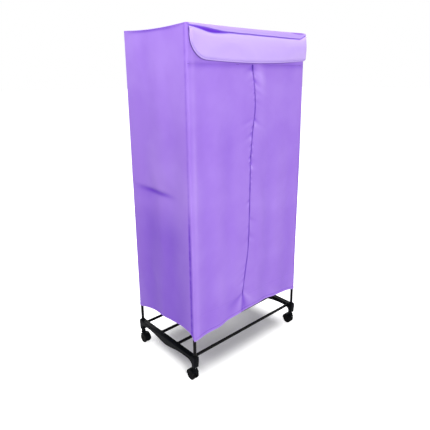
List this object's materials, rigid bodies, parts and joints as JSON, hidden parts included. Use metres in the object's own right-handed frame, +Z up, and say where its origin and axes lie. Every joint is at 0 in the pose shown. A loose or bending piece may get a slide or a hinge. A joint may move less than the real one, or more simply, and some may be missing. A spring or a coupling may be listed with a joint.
{
  "type": "portable clothes dryer",
  "caption": "Free-standing fabric clothes dryer: tube frame on twin-wheel casters, zipped violet cover with a front flap, hanging rails inside and a fan heater on the base bars.",
  "frame": {"origin": "on the floor under the middle of the four posts", "axes": "+Z up, +X to the right of someone who faces the zipped front, which looks towards -Y"},
  "size_m": [0.701, 0.4606, 1.5],
  "materials": {
    "black_plastic": "moulded black plastic, satin",
    "black_tube": "gloss black powder coat",
    "bright_steel": "bright plated",
    "wheel_plastic": "black, satin",
    "violet_cloth": "woven polyester with a soft sheen",
    "pale_violet_cloth": "woven polyester with a soft sheen",
    "violet_zip": "coil zip, satin",
    "white_plastic": "satin",
    "grey_plastic": "satin",
    "motor_steel": "plain",
    "element": "matt fins",
    "red_plastic": "gloss",
    "amber_lens": "gloss, translucent"
  },
  "bodies": {
    "frame": {"base_bar_front": "black_tube", "base_bar_mid_front": "black_tube", "base_bar_mid_rear": "black_tube", "base_bar_rear": "black_tube", "caster_stem_front_left": "bright_steel", "caster_stem_front_right": "bright_steel", "caster_stem_rear_left": "bright_steel", "caster_stem_rear_right": "bright_steel", "cord_inlet": "black_plastic", "cover_back": "violet_cloth", "cover_header": "violet_cloth", "cover_lower_band": "violet_cloth", "cover_side_left": "violet_cloth", "cover_side_right": "violet_cloth", "cover_top": "violet_cloth", "fan_motor": "motor_steel", "foot_bracket_left": "black_plastic", "foot_bracket_right": "black_plastic", "hanging_rail_front": "black_tube", "hanging_rail_rear": "black_tube", "heater_base": "white_plastic", "heater_cover": "white_plastic", "heating_element": "element", "lower_post_front_left": "black_tube", "lower_post_front_right": "black_tube", "lower_post_rear_left": "black_tube", "lower_post_rear_right": "black_tube", "outlet_grille": "grey_plastic", "pilot_lens": "amber_lens", "top_bracket_left": "black_plastic", "top_bracket_right": "black_plastic", "top_rail_front": "black_tube", "top_rail_rear": "black_tube", "upper_post_front_left": "black_tube", "upper_post_front_right": "black_tube", "upper_post_rear_left": "black_tube", "upper_post_rear_right": "black_tube"},
    "door_left": {"front_door_left": "violet_cloth", "zip_chain_left": "violet_zip"},
    "door_right": {"front_door_right": "violet_cloth", "zip_chain_right": "violet_zip"},
    "flap": {"front_flap": "pale_violet_cloth"},
    "slider": {"zip_slider": "bright_steel"},
    "pull_tab": {"zip_pull_tab": "bright_steel"},
    "fan": {"fan_impeller": "grey_plastic"},
    "knob": {"timer_knob": "grey_plastic"},
    "rocker": {"power_rocker": "red_plastic"},
    "caster_front_left": {"caster_hood_front_left": "black_plastic"},
    "wheels_front_left": {"caster_wheel_outer_front_left": "wheel_plastic", "caster_wheel_inner_front_left": "wheel_plastic"},
    "caster_front_right": {"caster_hood_front_right": "black_plastic"},
    "wheels_front_right": {"caster_wheel_outer_front_right": "wheel_plastic", "caster_wheel_inner_front_right": "wheel_plastic"},
    "caster_rear_left": {"caster_hood_rear_left": "black_plastic"},
    "wheels_rear_left": {"caster_wheel_outer_rear_left": "wheel_plastic", "caster_wheel_inner_rear_left": "wheel_plastic"},
    "caster_rear_right": {"caster_hood_rear_right": "black_plastic"},
    "wheels_rear_right": {"caster_wheel_outer_rear_right": "wheel_plastic", "caster_wheel_inner_rear_right": "wheel_plastic"}
  },
  "joints": [
    {"name": "door_left_swing", "type": "hinge", "parent": "frame", "child": "door_left", "pos_m": [-0.342, -0.2177, 0.31], "axis": [0, 0, -1], "range_deg": [0, 110]},
    {"name": "door_right_swing", "type": "hinge", "parent": "frame", "child": "door_right", "pos_m": [0.342, -0.2177, 0.31], "axis": [0, 0, 1], "range_deg": [0, 110]},
    {"name": "flap_lift", "type": "hinge", "parent": "frame", "child": "flap", "pos_m": [0, -0.2185, 1.4915], "axis": [-1, 0, 0], "range_deg": [0, 120]},
    {"name": "zip_slide", "type": "slide", "parent": "frame", "child": "slider", "axis": [-0.0493, 0, -0.9988], "range_m": [0, 1.1234]},
    {"name": "pull_tab_swing", "type": "hinge", "parent": "slider", "child": "pull_tab", "pos_m": [0.003, -0.2215, 1.415], "axis": [0, 1, 0], "range_deg": [-70, 70]},
    {"name": "caster_swivel_front_left", "type": "hinge", "parent": "frame", "child": "caster_front_left", "pos_m": [-0.3345, -0.2085, 0.0605], "axis": [0, 0, 1], "continuous": true},
    {"name": "wheel_spin_front_left", "type": "hinge", "parent": "caster_front_left", "child": "wheels_front_left", "pos_m": [-0.3345, -0.1915, 0.0235], "axis": [1, 0, 0], "continuous": true},
    {"name": "caster_swivel_front_right", "type": "hinge", "parent": "frame", "child": "caster_front_right", "pos_m": [0.3345, -0.2085, 0.0605], "axis": [0, 0, 1], "continuous": true},
    {"name": "wheel_spin_front_right", "type": "hinge", "parent": "caster_front_right", "child": "wheels_front_right", "pos_m": [0.3345, -0.1915, 0.0235], "axis": [1, 0, 0], "continuous": true},
    {"name": "caster_swivel_rear_left", "type": "hinge", "parent": "frame", "child": "caster_rear_left", "pos_m": [-0.3345, 0.2085, 0.0605], "axis": [0, 0, 1], "continuous": true},
    {"name": "wheel_spin_rear_left", "type": "hinge", "parent": "caster_rear_left", "child": "wheels_rear_left", "pos_m": [-0.3345, 0.1915, 0.0235], "axis": [1, 0, 0], "continuous": true},
    {"name": "caster_swivel_rear_right", "type": "hinge", "parent": "frame", "child": "caster_rear_right", "pos_m": [0.3345, 0.2085, 0.0605], "axis": [0, 0, 1], "continuous": true},
    {"name": "wheel_spin_rear_right", "type": "hinge", "parent": "caster_rear_right", "child": "wheels_rear_right", "pos_m": [0.3345, 0.1915, 0.0235], "axis": [1, 0, 0], "continuous": true},
    {"name": "fan_spin", "type": "hinge", "parent": "frame", "child": "fan", "pos_m": [0, 0.078, 0.1569], "axis": [0, 0, 1], "continuous": true},
    {"name": "timer_turn", "type": "hinge", "parent": "frame", "child": "knob", "pos_m": [0.085, -0.0423, 0.1981], "axis": [0, 1, 0], "range_deg": [0, 300]},
    {"name": "rocker_tilt", "type": "hinge", "parent": "frame", "child": "rocker", "pos_m": [-0.085, -0.0395, 0.1981], "axis": [-1, 0, 0], "range_deg": [0, 18]}
  ]
}
